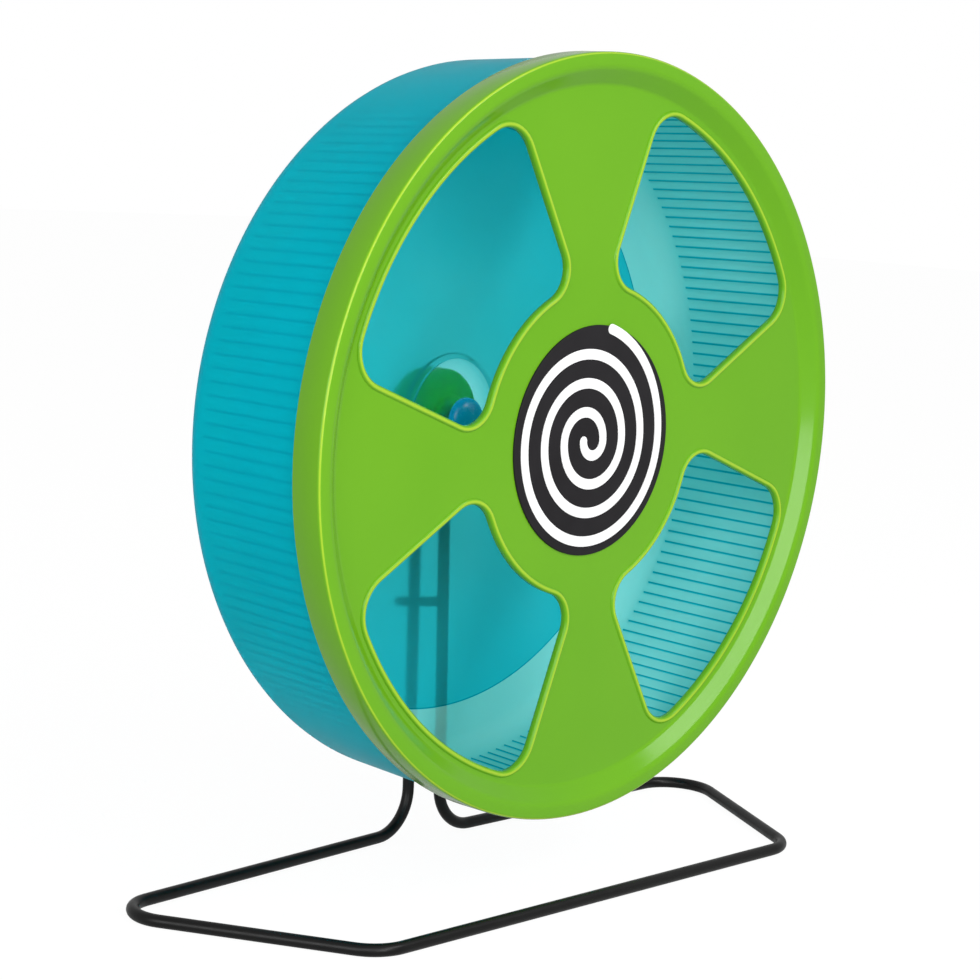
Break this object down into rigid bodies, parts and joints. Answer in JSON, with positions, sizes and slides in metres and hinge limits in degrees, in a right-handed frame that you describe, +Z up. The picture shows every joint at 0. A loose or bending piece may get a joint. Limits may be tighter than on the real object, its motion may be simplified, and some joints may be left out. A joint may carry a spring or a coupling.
{
  "type": "hamster wheel",
  "caption": "Pan-shaped exercise wheel with a ribbed tread and a spoked front ring, turning on a ball bearing held by a bent-wire stand.",
  "frame": {"origin": "on the floor plane, below the middle of the object's bounding box", "axes": "+X across the wheel to the right as seen from the front, +Y from the front ring towards the stand's uprights along the axle, +Z up"},
  "size_m": [0.3096, 0.1238, 0.308],
  "materials": {
    "green_plastic": "bright green moulded plastic, satin gloss",
    "teal_plastic": "translucent teal-blue moulded plastic, glossy",
    "blue_plastic": "blue moulded plastic, glossy",
    "black_plastic": "black, matt",
    "white_print": "white, matt",
    "black_coat": "black powder coat, semi-gloss",
    "bearing_steel": "ground bearing steel",
    "zinc_steel": "bright zinc plate"
  },
  "bodies": {
    "stand": {"stand_wire": "black_coat", "cross_bar": "black_coat", "clamp_front": "green_plastic", "clamp_rear": "green_plastic", "axle_bolt": "zinc_steel", "spacer_sleeve": "zinc_steel", "rear_washer": "zinc_steel", "lock_nut": "zinc_steel", "bearing_inner_race": "bearing_steel"},
    "wheel": {"front_ring": "green_plastic", "drum": "teal_plastic", "spiral_disc": "black_plastic", "spiral_stripe": "white_print", "hub_cap": "blue_plastic", "bearing_outer_race": "bearing_steel"},
    "cage": {"bearing_cage": "zinc_steel", "bearing_ball_1": "bearing_steel", "bearing_ball_2": "bearing_steel", "bearing_ball_3": "bearing_steel", "bearing_ball_4": "bearing_steel", "bearing_ball_5": "bearing_steel", "bearing_ball_6": "bearing_steel", "bearing_ball_7": "bearing_steel"}
  },
  "joints": [
    {"name": "wheel_spin", "type": "hinge", "parent": "stand", "child": "wheel", "pos_m": [0.00138, 0.03352, 0.168], "axis": [0, 1, 0], "continuous": true},
    {"name": "cage_spin", "type": "hinge", "parent": "stand", "child": "cage", "pos_m": [0.00138, 0.03352, 0.168], "axis": [0, 1, 0], "continuous": true}
  ],
  "couplings": [
    {"joint": "cage_spin", "follows": "wheel_spin", "ratio": 0.6235}
  ]
}
